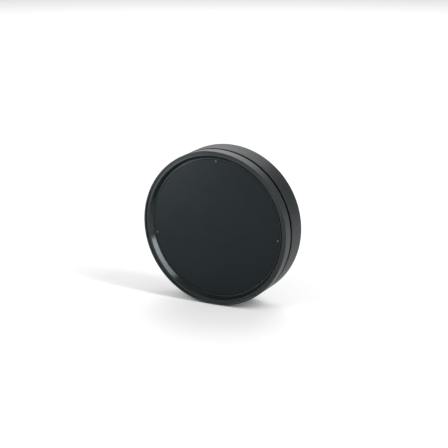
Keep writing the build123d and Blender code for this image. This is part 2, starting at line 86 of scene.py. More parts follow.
class Num:
    """A number socket that Python's operators act on, by adding Math nodes."""

    def __init__(self, graph: Graph, socket: bpy.types.NodeSocket) -> None:
        """Wraps one socket of a graph."""
        self.graph = graph
        self.socket = socket

    def _maths(self, operation: str, *terms: Any) -> Num:
        """Adds one Math node.

        Args:
            operation: The Math node's operation.
            terms: Its inputs in order, each a number or a Num.

        Returns:
            The node's result.
        """
        node = self.graph.node(
            "ShaderNodeMath", {"operation": operation}, dict(enumerate(terms))
        )
        return Num(self.graph, node.outputs[0])

    def __add__(self, other: Any) -> Num:
        """Sum."""
        return self._maths("ADD", self, other)

    def __radd__(self, other: Any) -> Num:
        """Sum, with the number first."""
        return self._maths("ADD", other, self)

    def __sub__(self, other: Any) -> Num:
        """Difference."""
        return self._maths("SUBTRACT", self, other)

    def __rsub__(self, other: Any) -> Num:
        """Difference, with the number first."""
        return self._maths("SUBTRACT", other, self)

    def __mul__(self, other: Any) -> Num:
        """Product."""
        return self._maths("MULTIPLY", self, other)

    def __rmul__(self, other: Any) -> Num:
        """Product, with the number first."""
        return self._maths("MULTIPLY", other, self)

    def __truediv__(self, other: Any) -> Num:
        """Quotient."""
        return self._maths("DIVIDE", self, other)

    def __gt__(self, other: Any) -> Num:
        """1 where it is greater, else 0."""
        return self._maths("GREATER_THAN", self, other)

    def root(self) -> Num:
        """Square root."""
        return self._maths("SQRT", self)

    def floor(self) -> Num:
        """Whole part."""
        return self._maths("FLOOR", self)

    def sine(self) -> Num:
        """Sine of an angle in radians."""
        return self._maths("SINE", self)

    def cosine(self) -> Num:
        """Cosine of an angle in radians."""
        return self._maths("COSINE", self)

    def least(self, other: Any) -> Num:
        """The smaller of the two."""
        return self._maths("MINIMUM", self, other)

    def most(self, other: Any) -> Num:
        """The larger of the two."""
        return self._maths("MAXIMUM", self, other)

    def ramp(self, start: float, end: float) -> Num:
        """Smooth step.

        Args:
            start: Value at which it is 0.
            end: Value at which it is 1.

        Returns:
            The step.
        """
        node = self.graph.node(
            "ShaderNodeMapRange",
            {"interpolation_type": "SMOOTHSTEP"},
            {"Value": self, "From Min": start, "From Max": end},
        )
        return Num(self.graph, node.outputs["Result"])


class Graph:
    """Adds nodes to one shader or geometry tree."""

    def __init__(self, tree: bpy.types.NodeTree) -> None:
        """Wraps a tree."""
        self.tree = tree

    def node(
        self,
        kind: str,
        settings: dict[str, Any] | None = None,
        sockets: dict[str | int, Any] | None = None,
    ) -> bpy.types.Node:
        """Adds any node.

        Args:
            kind: The node's type.
            settings: Its own settings, set first.
            sockets: Values or links of its inputs, by name or number.

        Returns:
            The node.
        """
        made = self.tree.nodes.new(kind)
        for name, value in (settings or {}).items():
            setattr(made, name, value)
        for name, value in (sockets or {}).items():
            if isinstance(value, Num):
                self.tree.links.new(value.socket, made.inputs[name])
            elif isinstance(value, bpy.types.NodeSocket):
                self.tree.links.new(value, made.inputs[name])
            else:
                made.inputs[name].default_value = value
        return made

    def number(self, kind: str, output: str | int = 0, **sockets: Any) -> Num:
        """Adds a node that gives a number, with inputs named by keywords."""
        node = self.node(kind, None, {name.replace("_", " "): v for name, v in sockets.items()})
        return Num(self, node.outputs[output])

    def parts(self, vector: bpy.types.NodeSocket) -> tuple[Num, Num, Num]:
        """Takes a vector apart.

        Args:
            vector: The vector's socket.

        Returns:
            Its three numbers.
        """
        node = self.node("ShaderNodeSeparateXYZ", None, {"Vector": vector})
        x, y, z = (Num(self, output) for output in node.outputs)
        return x, y, z

    def vector(self, x: Any, y: Any, z: Any) -> bpy.types.NodeSocket:
        """A vector of three numbers."""
        return self.node("ShaderNodeCombineXYZ", None, {"X": x, "Y": y, "Z": z}).outputs[0]


class ShaderGraph(Graph):
    """A material's graph round one Principled shader."""

    def __init__(self, name: str) -> None:
        """Makes the material and its shader.

        Args:
            name: The material's name.
        """
        self.material = bpy.data.materials.new(name)
        self.material.use_nodes = True
        super().__init__(self.material.node_tree)
        self.tree.nodes.clear()
        self.shader = self.node("ShaderNodeBsdfPrincipled")
        self.node("ShaderNodeOutputMaterial", None, {"Surface": self.shader.outputs[0]})
        self.place = self.node("ShaderNodeTexCoord").outputs["Object"]

    def set(self, **sockets: Any) -> None:
        """Sets or links the shader's inputs.

        Args:
            sockets: Values or links, by the input's name with _ for each space.
        """
        for name, value in sockets.items():
            socket = self.shader.inputs[name.replace("_", " ")]
            if isinstance(value, Num):
                self.tree.links.new(value.socket, socket)
            elif isinstance(value, bpy.types.NodeSocket):
                self.tree.links.new(value, socket)
            else:
                socket.default_value = value

    def noise(self, size_mm: float, detail: float = 2.0, place: Any = None) -> Num:
        """Noise whose blobs are about size_mm across, from 0 to 1."""
        sockets = {"Vector": place or self.place, "Scale": 1 / (size_mm * MM), "Detail": detail}
        return Num(self, self.node("ShaderNodeTexNoise", None, sockets).outputs[0])

    def turned_place(self) -> bpy.types.NodeSocket:
        """Coordinates that are the same all round the axis, so a pattern on them is rings."""
        x, y, z = self.parts(self.place)
        return self.vector((x * x + z * z).root(), y, 0.0)

    def mix(self, factor: Any, first: Any, second: Any) -> bpy.types.NodeSocket:
        """Mixes two colours.

        Args:
            factor: Share of the second colour.
            first: Colour or socket at 0.
            second: Colour or socket at 1.

        Returns:
            The mixed colour.
        """
        ends = [(*c, 1.0) if isinstance(c, tuple) else c for c in (first, second)]
        sockets = {0: factor, 6: ends[0], 7: ends[1]}
        return self.node("ShaderNodeMix", {"data_type": "RGBA"}, sockets).outputs[2]

    def bump(self, height: Num, depth_mm: float, before: Any = None) -> bpy.types.NodeSocket:
        """Bump from a pattern.

        Args:
            height: The pattern, from 0 to 1.
            depth_mm: Depth that a height of 1 stands for.
            before: Another bump that it lies on, if any.

        Returns:
            The bumped normal.
        """
        sockets: dict[str | int, Any] = {"Height": height, "Distance": depth_mm * MM}
        if before is not None:
            sockets["Normal"] = before
        return self.node("ShaderNodeBump", None, sockets).outputs[0]


# ---- Finishes -------------------------------------------------------------------------------


@dataclass(frozen=True)
class Finish(ABC):
    """A surface finish.

    Attributes:
        name: The material's name.
        slot: The record's material slot that it belongs to; not used.
        colour: Its main colour, linear.
        roughness: Its usual roughness.
    """

    name: str
    slot: str
    colour: Colour
    roughness: float

    @abstractmethod
    def build(self) -> bpy.types.Material:
        """Makes the material.

        Returns:
            The material.
        """

    def shade(self, factor: float) -> Colour:
        """The main colour, darker or lighter."""
        return (self.colour[0] * factor, self.colour[1] * factor, self.colour[2] * factor)


@dataclass(frozen=True)
class Anodised(Finish):
    """Dyed anodised aluminium over fine turning marks, rubbed a little along its edges.

    Attributes:
        mark_size: Width of a turning mark, in mm.
        mark_depth: Depth of a turning mark, in mm.
        grain_depth: Depth of the etched grain, in mm.
        gloss: Specular level of the sealed dye layer.
        tint: Colour of the dye in its reflections.
        satin_beyond: Radius beyond which the surface is blasted satin, in mm, or 0 for none.
        worn_edges: (radius, height) of the edges that show rubbing, in mm.
        worn_colour: Colour of the rubbed edge.
    """

    mark_size: float = 0.32
    mark_depth: float = 0.0035
    grain_depth: float = 0.0012
    gloss: float = 0.3
    tint: Colour = (0.84, 0.96, 1.0)
    satin_beyond: float = 0.0
    worn_edges: tuple[tuple[float, float], ...] = ()
    worn_colour: Colour = (0.05, 0.052, 0.056)

    def build(self) -> bpy.types.Material:
        """Makes the material.

        Returns:
            The material.
        """
        graph = ShaderGraph(self.name)
        rings = graph.turned_place()
        marks = graph.noise(self.mark_size, 3.0, rings)
        bands = graph.noise(self.mark_size * 9, 1.0, rings)
        blotches = graph.noise(14.0, 3.0)
        grain = graph.noise(0.09, 2.0)
        colour = graph.mix(blotches, self.shade(0.82), self.shade(1.2))
        rough = self.roughness + (blotches - 0.5) * 0.12 + (marks - 0.5) * 0.06
        rough = rough + (bands - 0.5) * 0.05
        if self.satin_beyond:
            x, _, z = graph.parts(graph.place)
            rough = rough + ((x * x + z * z).root() > self.satin_beyond * MM) * 0.26
        if self.worn_edges:
            rubbed = self._rubbing(graph)
            colour = graph.mix(rubbed * 0.55, colour, self.worn_colour)
            rough = rough - rubbed * 0.06
        bumps = graph.bump(marks, self.mark_depth)
        bumps = graph.bump(grain, self.grain_depth, bumps)
        graph.set(
            Base_Color=colour,
            Roughness=rough,
            Normal=bumps,
            Specular_IOR_Level=self.gloss,
            Specular_Tint=(*self.tint, 1.0),
        )
        return graph.material

    def _rubbing(self, graph: ShaderGraph) -> Num:
        """Mask of the worn edges, broken up by noise.

        Args:
            graph: The material's graph.

        Returns:
            The mask, 1 where the edge is rubbed.
        """
        x, y, z = graph.parts(graph.place)
        radius = (x * x + z * z).root()
        reach = 0.38 * MM
        mask: Num | None = None
        for edge_radius, edge_height in self.worn_edges:
            across = radius - edge_radius * MM
            along = y + edge_height * MM
            near = 1 - (across * across + along * along).root().ramp(reach * 0.25, reach)
            mask = near if mask is None else mask.most(near)
        assert mask is not None
        return mask * graph.noise(2.4, 4.0).ramp(0.42, 0.68)


@dataclass(frozen=True)
class Steel(Finish):
    """Machined stainless steel.

    Attributes:
        turned: Whether its tool marks run round the main axis.
        mark_size: Width of a tool mark, in mm.
    """

    turned: bool = False
    mark_size: float = 0.12

    def build(self) -> bpy.types.Material:
        """Makes the material.

        Returns:
            The material.
        """
        graph = ShaderGraph(self.name)
        place = graph.turned_place() if self.turned else None
        marks = graph.noise(self.mark_size, 3.0, place)
        stains = graph.noise(3.0, 3.0)
        colour = graph.mix(stains, self.shade(0.9), self.shade(1.05))
        rough = self.roughness + (stains - 0.5) * 0.14 + (marks - 0.5) * 0.1
        bumps = graph.bump(marks, 0.002)
        graph.set(Base_Color=colour, Roughness=rough, Normal=bumps, Metallic=1.0)
        return graph.material


@dataclass(frozen=True)
class Rubber(Finish):
    """Moulded rubber or silicone with a fine matt grain and a little dust.

    Attributes:
        grain_size: Size of the grain, in mm.
        dust: Share of dust in its hollows.
    """

    grain_size: float = 0.14
    dust: float = 0.25

    def build(self) -> bpy.types.Material:
        """Makes the material.

        Returns:
            The material.
        """
        graph = ShaderGraph(self.name)
        grain = graph.noise(self.grain_size, 3.0)
        dusty = graph.noise(5.0, 4.0).ramp(0.5, 0.75)
        colour = graph.mix(dusty * self.dust, self.colour, self.shade(2.6))
        rough = self.roughness + (grain - 0.5) * 0.2 + dusty * 0.08
        bumps = graph.bump(grain, 0.012)
        graph.set(Base_Color=colour, Roughness=rough, Normal=bumps, Specular_IOR_Level=0.35)
        return graph.material


@dataclass(frozen=True)
class Foam(Finish):
    """Closed-cell foam sheet.

    Attributes:
        cell_size: Size of a cell, in mm.
    """

    cell_size: float = 0.45

    def build(self) -> bpy.types.Material:
        """Makes the material.

        Returns:
            The material.
        """
        graph = ShaderGraph(self.name)
        sockets = {"Vector": graph.place, "Scale": 1 / (self.cell_size * MM)}
        cells = Num(graph, graph.node("ShaderNodeTexVoronoi", None, sockets).outputs["Distance"])
        tone = graph.noise(6.0, 3.0)
        walls = cells.ramp(0.1, 0.6)
        # Painted shade: the cell pits, which the bump sinks, are painted darker and the cell walls
        # lighter. The tone noise adds random variation.
        colour = graph.mix(walls * 0.5 + tone * 0.4, self.shade(0.7), self.shade(1.5))
        bumps = graph.bump(walls, 0.09)
        rough = self.roughness - walls * 0.08
        graph.set(Base_Color=colour, Roughness=rough, Normal=bumps, Specular_IOR_Level=0.2)
        return graph.material


@dataclass(frozen=True)
class OpticalGlass(Finish):
    """Polished crown glass with a trace of bloom on the surface.

    Attributes:
        index: Refractive index.
    """

    index: float = 1.517

    def build(self) -> bpy.types.Material:
        """Makes the material.

        Returns:
            The material.
        """
        graph = ShaderGraph(self.name)
        bloom = graph.noise(4.0, 4.0).ramp(0.55, 0.85)
        tint = graph.mix(bloom * 0.4, self.colour, self.shade(0.97))
        graph.set(
            Base_Color=tint,
            Roughness=self.roughness + bloom * 0.012,
            IOR=self.index,
            Transmission_Weight=1.0,
        )
        return graph.material


@dataclass(frozen=True)
class TargetEnamel(Finish):
    """Aiming target: opposite quarters dark and light inside a dark border.

    Attributes:
        dark: Colour of the dark quarters.
        border_radius: Inner radius of the border, in mm.
    """

    dark: Colour = (0.012, 0.012, 0.013)
    border_radius: float = 7.9

    def build(self) -> bpy.types.Material:
        """Makes the material.

        Returns:
            The material.
        """
        graph = ShaderGraph(self.name)
        x, _, z = graph.parts(graph.place)
        radius = (x * x + z * z).root()
        quarter = x * z > 0.0
        border = radius > self.border_radius * MM
        speckle = graph.noise(0.5, 3.0)
        light = graph.mix(speckle, self.shade(0.93), self.shade(1.05))
        colour = graph.mix(quarter.most(border), light, self.dark)
        rough = self.roughness + (speckle - 0.5) * 0.15
        bumps = graph.bump(graph.noise(0.25, 2.0), 0.004)
        graph.set(Base_Color=colour, Roughness=rough, Normal=bumps)
        return graph.material


@cache
def dressed(finish: Finish) -> bpy.types.Material:
    """The finish's material, made once."""
    return finish.build()


BLACK_DYE: Colour = (0.0040, 0.0052, 0.0056)
SATIN_MARGIN = 0.02

FACE = Anodised(
    "fine_black_face",
    "black_face",
    (0.0030, 0.0042, 0.0050),
    0.3,
    mark_size=0.24,
    mark_depth=0.0008,
    grain_depth=0.0006,
    gloss=0.2,
    tint=(0.76, 0.94, 1.0),
)
INNER_BLACK = Anodised("inner_black", "black_anodised", (0.012, 0.012, 0.013), 0.5)
PLATE_BLACK = Anodised(
    "plate_black",
    "black_anodised",
    (0.015, 0.0155, 0.0165),
    0.42,
    mark_size=0.45,
    mark_depth=0.006,
)
BRIGHT_STEEL = Steel("bright_steel", "bright_steel", (0.62, 0.61, 0.59), 0.24)
TURNED_STEEL = Steel("turned_steel", "bright_steel", (0.58, 0.57, 0.55), 0.28, turned=True)
SEAL_RUBBER = Rubber("seal_rubber", "seal_rubber", (0.012, 0.012, 0.0125), 0.62)
CUSHION_SILICONE = Rubber("cushion_silicone", "cushion_silicone", (0.42, 0.43, 0.43), 0.55)
LINER_FOAM = Foam("liner_foam", "liner_foam", (0.035, 0.036, 0.04), 0.94)
PIN_STEEL = Steel("darkened_pin_steel", "bright_steel", (0.09, 0.09, 0.09), 0.3)
PRISM_GLASS = OpticalGlass("prism_glass", "prism_glass", (0.985, 1.0, 0.995), 0.0)
TARGET = TargetEnamel("target_enamel", "target_plastic", (0.86, 0.55, 0.02), 0.42)


# ---- Meshes ---------------------------------------------------------------------------------


def radius_of(node: str) -> float:
    """A node's greatest radius about the axis, in mm."""
    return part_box(node)[1][0] / MM


def front_of(node: str) -> float:
    """Height of a node's front, in mm."""
    return -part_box(node)[0][1] / MM


def back_of(node: str) -> float:
    """Height of a node's back, in mm."""
    return -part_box(node)[1][1] / MM


class Outline:
    """An outline of (radius, height) corners, each of which may be rounded."""

    ARC_STEPS = 7
    SUPPORT = 0.04

    def __init__(self, closed: bool = True) -> None:
        """Starts an empty outline.

        Args:
            closed: Whether it closes on itself. Otherwise it runs from axis to axis.
        """
        self.closed = closed
        self.corners: list[tuple[float, float, float]] = []
        self.thread_rows: set[int] = set()

    def to(self, radius: float, height: float, rounding: float = 0.0) -> Outline:
        """Adds a corner, rounded by an arc of that radius."""
        self.corners.append((radius, height, rounding))
        return self

    def thread(self, corners: Iterable[tuple[float, float]]) -> Outline:
        """Adds corners that climb with the angle, as a screw thread does.

        Args:
            corners: Each corner's radius and height at angle 0.

        Returns:
            This outline.
        """
        for radius, height in corners:
            self.thread_rows.add(len(self.corners))
            self.corners.append((radius, height, 0.0))
        return self

    def points(self) -> list[tuple[float, float, bool]]:
        """Works out the outline's points.

        Returns:
            Each point as (radius, height, whether it climbs).
        """
        count = len(self.corners)
        found: list[tuple[float, float, bool]] = []
        for index, (radius, height, rounding) in enumerate(self.corners):
            if rounding:
                before = self.corners[index - 1]
                after = self.corners[(index + 1) % count]
                found += [(*point, False) for point in self._arc(before, index, after)]
            else:
                found.append((radius, height, index in self.thread_rows))
        return found + found[:1] if self.closed else found

    def _arc(
        self, before: Sequence[float], index: int, after: Sequence[float]
    ) -> list[tuple[float, float]]:
        """The rounding of one corner, with a support point before and after it.

        Args:
            before: The corner before.
            index: Which corner it is.
            after: The corner after.

        Returns:
            The arc's points.
        """
        corner = np.array(self.corners[index][:2])
        rounding = self.corners[index][2]
        back = np.array(before[:2]) - corner
        ahead = np.array(after[:2]) - corner
        back_length, ahead_length = np.linalg.norm(back), np.linalg.norm(ahead)
        back, ahead = back / back_length, ahead / ahead_length
        half = math.acos(float(np.clip(back @ ahead, -1, 1))) / 2
        reach = rounding / math.tan(half)
        centre = corner + (back + ahead) / np.linalg.norm(back + ahead) * rounding / math.sin(half)
        start, end = corner + back * reach - centre, corner + ahead * reach - centre
        sweep = math.pi - 2 * half
        found = []
        if back_length > reach + 2 * self.SUPPORT:
            found.append(tuple(corner + back * (reach + self.SUPPORT)))
        for step in range(self.ARC_STEPS + 1):
            share = step / self.ARC_STEPS
            weight_start = math.sin((1 - share) * sweep) / math.sin(sweep)
            weight_end = math.sin(share * sweep) / math.sin(sweep)
            found.append(tuple(centre + start * weight_start + end * weight_end))
        if ahead_length > reach + 2 * self.SUPPORT:
            found.append(tuple(corner + ahead * (reach + self.SUPPORT)))
        return found


class GeometryTree:
    """A Geometry Nodes tree with named inputs, run once on a mesh."""

    def __init__(self, name: str) -> None:
        """Makes an empty tree with one geometry output.

        Args:
            name: The tree's name.
        """
        self.tree = bpy.data.node_groups.new(name, "GeometryNodeTree")
        self.graph = Graph(self.tree)
        self.tree.interface.new_socket(
            "Geometry", in_out="OUTPUT", socket_type="NodeSocketGeometry"
        )
        self.entry = self.graph.node("NodeGroupInput")

    def input(self, name: str, kind: str) -> bpy.types.NodeSocket:
        """Adds a named input, such as NodeSocketInt."""
        self.tree.interface.new_socket(name, in_out="INPUT", socket_type=kind)
        return self.entry.outputs[name]

    def number(self, name: str, whole: bool = False) -> Num:
        """Adds a named input that is a number."""
        kind = "NodeSocketInt" if whole else "NodeSocketFloat"
        return Num(self.graph, self.input(name, kind))

    def finish(self, geometry: bpy.types.NodeSocket) -> None:
        """Ends the tree in Realize Instances and Set Material.

        Args:
            geometry: The finished geometry.
        """
        material = self.input("Material", "NodeSocketMaterial")
        real = self.graph.node("GeometryNodeRealizeInstances", None, {"Geometry": geometry})
        sockets = {"Geometry": real.outputs[0], "Material": material}
        coated = self.graph.node("GeometryNodeSetMaterial", None, sockets)
        self.graph.node("NodeGroupOutput", None, {"Geometry": coated.outputs[0]})

    def run(self, name: str, source: bpy.types.Mesh, finish: Finish, **values: Any) -> Any:
        """Runs the tree on a mesh and keeps the result as a plain mesh.

        Args:
            name: The new piece's name.
            source: The mesh that the tree starts from.
            finish: The finish that the tree sets.
            values: The tree's inputs, by name.

        Returns:
            The new object, with no modifier left.
        """
        piece = bpy.data.objects.new(name, source)
        bpy.context.scene.collection.objects.link(piece)
        modifier = piece.modifiers.new("made", "NODES")
        modifier.node_group = self.tree
        wanted = {key.replace("_", " "): value for key, value in values.items()}
        wanted["Material"] = dressed(finish)
        for item in self.tree.interface.items_tree:
            if item.in_out == "INPUT" and item.name in wanted:
                modifier[item.identifier] = wanted[item.name]
        bpy.context.view_layer.update()
        evaluated = piece.evaluated_get(bpy.context.evaluated_depsgraph_get())
        mesh = bpy.data.meshes.new_from_object(evaluated)
        piece.modifiers.clear()
        piece.data = mesh
        mesh.name = name
        bpy.data.meshes.remove(source)
        face_outwards(mesh)
        return piece


def face_outwards(mesh: bpy.types.Mesh) -> None:
    """Turns a closed mesh's faces outwards if its volume comes out negative.

    Args:
        mesh: The mesh to turn.
    """
    mesh.calc_loop_triangles()
    corners = np.zeros(len(mesh.vertices) * 3)
    mesh.vertices.foreach_get("co", corners)
    corners = corners.reshape(-1, 3)
    triangles = np.zeros(len(mesh.loop_triangles) * 3, np.int32)
    mesh.loop_triangles.foreach_get("vertices", triangles)
    a, b, c = (corners[triangles.reshape(-1, 3)[:, k]] for k in range(3))
    if float(np.einsum("ij,ij->", a, np.cross(b, c))) < 0:
        mesh.flip_normals()


class TurningTree(GeometryTree):
    """Turns an outline about the axis. Rows that climb rise by the lead in each turn."""

    MERGE_REACH = 0.0002 * MM
    RELIEF_SLOPE = 3.0

    def __init__(self) -> None:
        """Builds the tree."""
        super().__init__("turned_about_axis")
        graph = self.graph
        outline = self.input("Geometry", "NodeSocketGeometry")
        rows = self.number("Rows", whole=True)
        segments = self.number("Segments", whole=True)
        sharp = self.number("Sharp Angle")
        lead = self.number("Lead")
        mouth_radius = self.number("Mouth Radius")
        relief_radius = self.number("Relief Radius")
        relief_height = self.number("Relief Height")
        floor_height = self.number("Floor Height")
        columns = segments + 1
        grid = graph.node(
            "GeometryNodeMeshGrid", None, {"Vertices X": rows, "Vertices Y": columns}
        )
        index = graph.number("GeometryNodeInputIndex")
        row = (index / columns).floor()
        turn = (index - row * columns) / segments
        place = graph.node("GeometryNodeInputPosition").outputs[0]
        sampled = graph.node(
            "GeometryNodeSampleIndex",
            {"data_type": "FLOAT_VECTOR", "domain": "POINT"},
            {"Geometry": outline, "Value": place, "Index": row},
        )
        radius, height, climbs = graph.parts(sampled.outputs[0])
        risen = (height + lead * turn).most(0.0).least(floor_height)
        cut = radius.most(mouth_radius - risen)
        steep = relief_radius - (relief_height - risen).most(0.0) * self.RELIEF_SLOPE
        cut = cut.most(steep)
        radius = radius + climbs * (cut - radius)
        height = height + climbs * (risen - height)
        angle = turn * TAU
        moved = graph.node(
            "GeometryNodeSetPosition",
            None,
            {
                "Geometry": grid.outputs["Mesh"],
                "Position": graph.vector(
                    radius * angle.cosine(), height * -1.0, radius * angle.sine()
                ),
            },
        )
        joined = graph.node(
            "GeometryNodeMergeByDistance",
            None,
            {"Geometry": moved.outputs[0], "Distance": self.MERGE_REACH},
        )
        smooth = graph.node(
            "GeometryNodeSetShadeSmooth",
            {"domain": "FACE"},
            {"Geometry": joined.outputs[0], "Shade Smooth": True},
        )
        bend = graph.number("GeometryNodeInputMeshEdgeAngle")
        creased = graph.node(
            "GeometryNodeSetShadeSmooth",
            {"domain": "EDGE"},
            {"Geometry": smooth.outputs[0], "Selection": bend > sharp, "Shade Smooth": False},
        )
        self.finish(creased.outputs[0])

    def turn(
        self,
        name: str,
        outline: Outline,
        finish: Finish,
        segments: int = 288,
        **thread: float,
    ) -> Any:
        """Makes a turned piece.

        Args:
            name: The piece's name.
            outline: Its outline.
            finish: Its finish.
            segments: Steps round the axis.
            thread: Lead, Mouth_Radius and the like where rows climb, in metres.

        Returns:
            The piece.
        """
        points = outline.points()
        source = bpy.data.meshes.new(name + "_outline")
        places = [(radius * MM, height * MM, float(climbs)) for radius, height, climbs in points]
        source.from_pydata(places, [], [])
        return self.run(
            name,
            source,
            finish,
            Rows=len(points),
            Segments=segments,
            Sharp_Angle=SHARP_ANGLE,
            **thread,
        )


class RingTree(GeometryTree):
    """Repeats a mesh round the axis."""

    def __init__(self) -> None:
        """Builds the tree."""
        super().__init__("repeated_round_axis")
        graph = self.graph
        template = self.input("Geometry", "NodeSocketGeometry")
        count = self.number("Count", whole=True)
        start = self.number("Start Angle")
        points = graph.node("GeometryNodePoints", None, {"Count": count})
        index = graph.number("GeometryNodeInputIndex")
        angle = start + index * TAU / count
        turned = graph.node(
            "GeometryNodeInstanceOnPoints",
            None,
            {
                "Points": points.outputs[0],
                "Instance": template,
                "Rotation": graph.vector(0.0, angle * -1.0, 0.0),
            },
        )
        self.finish(turned.outputs[0])


class RingShape(Enum):
    """Shape of one ring of a stacked solid."""

    ROUND = "round"
    HEXAGON = "hexagon"


Ring = tuple[float, float, RingShape]


def stacked_mesh(
    name: str, rings: Sequence[np.ndarray], first: Sequence[float], last: Sequence[float]
) -> bpy.types.Mesh:
    """Closed mesh through rings of points.

    Args:
        name: The mesh's name.
        rings: Rings of the same number of points, each (count, 3).
        first: Middle point that closes the first ring.
        last: Middle point that closes the last ring.

    Returns:
        The mesh, with its sharp edges marked and its faces outwards.
    """
    count = len(rings[0])
    points = np.vstack([*rings, np.array([first, last])])
    first_index, last_index = len(points) - 2, len(points) - 1
    faces: list[tuple[int, ...]] = []
    for level in range(len(rings) - 1):
        low, high = level * count, (level + 1) * count
        for step in range(count):
            ahead = (step + 1) % count
            faces.append((low + step, low + ahead, high + ahead, high + step))
    top = (len(rings) - 1) * count
    for step in range(count):
        ahead = (step + 1) % count
        faces.append((first_index, ahead, step))
        faces.append((last_index, top + step, top + ahead))
    mesh = bpy.data.meshes.new(name)
    mesh.from_pydata(points.tolist(), [], faces)
    mesh.shade_smooth()
    mesh.set_sharp_from_angle(angle=SHARP_ANGLE)
    face_outwards(mesh)
    return mesh


def at_angle(points: np.ndarray, circle_radius: float, angle: float) -> np.ndarray:
    """Moves points drawn about the axis out to a circle, and turns them to an angle.

    Args:
        points: Points in mm as (along the circle's radius, height, along the circle).
        circle_radius: Distance from the axis, in mm.
        angle: Angle on the circle, in radians.

    Returns:
        The points in metres, in the frame.
    """
    out, height, along = points[:, 0] + circle_radius, points[:, 1], points[:, 2]
    across = out * math.cos(angle) - along * math.sin(angle)
    up = out * math.sin(angle) + along * math.cos(angle)
    return np.column_stack([across, -height, up]) * MM


def ring_points(
    radius: float, height: float | np.ndarray, shape: RingShape, count: int
) -> np.ndarray:
    """Points of one ring about the axis.

    Args:
        radius: Radius of the ring, or of its corners, in mm.
        height: Height, or the height of each point, in mm.
        shape: Its shape.
        count: Number of points.

    Returns:
        The points in mm, as at_angle takes them.
    """
    turns = np.arange(count) * TAU / count
    reach = np.full(count, radius)
    if shape is RingShape.HEXAGON:
        sixth = TAU / 6
        reach = radius * math.cos(sixth / 2) / np.cos((turns % sixth) - sixth / 2)
    return np.column_stack([reach * np.cos(turns), np.full(count, height), reach * np.sin(turns)])


@dataclass
class Screw:
    """Countersunk screw with a hexagon socket, its head flush with a face.

    Attributes:
        head_radius: Radius of the head.
        shank_radius: Radius of the shank.
        length: Overall length.
        circle_radius: Radius of the circle it stands on.
        face_height: Height of the face it is flush with.
        into: 1 if it runs forward from that face and -1 if it runs back.
        socket_share: Socket's radius at its corners, as a share of the head's.
        socket_depth: Depth of the socket's walls.
        edge: Size of the broken edges.
    """

    SKIN = 0.01
    SOCKET_CONE = 0.2
    STEPS = 48

    head_radius: float
    shank_radius: float
    length: float
    circle_radius: float
    face_height: float
    into: int
    socket_share: float = 0.55
    socket_depth: float = 0.55
    edge: float = 0.07

    def mesh(self, name: str) -> bpy.types.Mesh:
        """One screw, at angle 0 on its circle.

        Args:
            name: The mesh's name.

        Returns:
            The mesh.
        """
        shoulder = self.head_radius - self.shank_radius
        socket = self.head_radius * self.socket_share
        levels: list[Ring] = [
            (socket, self.socket_depth, RingShape.HEXAGON),
            (socket, self.edge, RingShape.HEXAGON),
            (socket + self.edge, self.SKIN, RingShape.HEXAGON),
            (self.head_radius - self.edge, self.SKIN, RingShape.ROUND),
            (self.head_radius - self.edge * 0.3, self.edge * 0.3, RingShape.ROUND),
            (self.head_radius - self.edge * 0.2, self.edge, RingShape.ROUND),
            (self.shank_radius, shoulder, RingShape.ROUND),
            (self.shank_radius, self.length - self.edge * 2, RingShape.ROUND),
            (self.shank_radius - self.edge * 2, self.length, RingShape.ROUND),
        ]
        rings = [self._placed(ring_points(r, d, shape, self.STEPS)) for r, d, shape in levels]
        first = self._placed(np.array([[0.0, self.socket_depth + self.SOCKET_CONE, 0.0]]))[0]
        last = self._placed(np.array([[0.0, self.length, 0.0]]))[0]
        return stacked_mesh(name, rings, first, last)

    def _placed(self, points: np.ndarray) -> np.ndarray:
        """Puts points in the frame.

        Args:
            points: Points in mm, whose second number is a depth below the face.

        Returns:
            The points in metres.
        """
        moved = points.copy()
        moved[:, 1] = self.face_height + self.into * points[:, 1]
        return at_angle(moved, self.circle_radius, 0.0)


# ---- Sub-assemblies -------------------------------------------------------------------------


def outer_black(
    name: str,
    outer: float,
    worn_edges: tuple[tuple[float, float], ...],
    roughness: float,
    gloss: float = 0.3,
) -> Anodised:
    """The black of the outside, which is satin on the rim and glossier inside it.

    Args:
        name: The material's name.
        outer: The body's radius, in mm.
        worn_edges: (radius, height) of the edges that show rubbing, in mm.
        roughness: Roughness inside the rim.
        gloss: Specular level.

    Returns:
        The finish.
    """
    return Anodised(
        name,
        "black_anodised",
        BLACK_DYE,
        roughness,
        gloss=gloss,
        satin_beyond=outer - SATIN_MARGIN,
        worn_edges=worn_edges,
    )


class Workshop:
    """The trees that pieces are made with, and how a piece joins the frame."""

    def __init__(self, nodes: dict[str, bpy.types.Object]) -> None:
        """Builds the trees.

        Args:
            nodes: The CAD nodes, by name.
        """
        self.nodes = nodes
        self.turning = TurningTree()
        self.ring = RingTree()

    def place(self, piece: bpy.types.Object, body: str, finish: Finish, *stands_for: str) -> None:
        """Makes a piece ride on a body in place of CAD nodes, and reports it.

        Args:
            piece: The finished piece.
            body: The body that it rides on.
            finish: Its finish; not used.
            stands_for: The CAD nodes that it replaces.
        """
        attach(piece, body)
        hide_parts(*stands_for)
        LOG.info("%s: %d faces, on %s", piece.name, len(piece.data.polygons), body)

    def coat(self, finish: Finish, *names: str) -> None:
        """Gives CAD nodes a finish.

        Args:
            finish: The finish.
            names: The nodes.
        """
        for name in names:
            for slot in self.nodes[name].material_slots:
                slot.material = dressed(finish)
            LOG.info("%s: coated with %s", name, finish.name)

    def from_mesh(self, mesh: bpy.types.Mesh, finish: Finish) -> bpy.types.Object:
        """Makes an object of a mesh.

        Args:
            mesh: The mesh.
            finish: Its finish.

        Returns:
            The object.
        """
        mesh.materials.clear()
        mesh.materials.append(dressed(finish))
        piece = bpy.data.objects.new(mesh.name, mesh)
        bpy.context.scene.collection.objects.link(piece)
        return piece


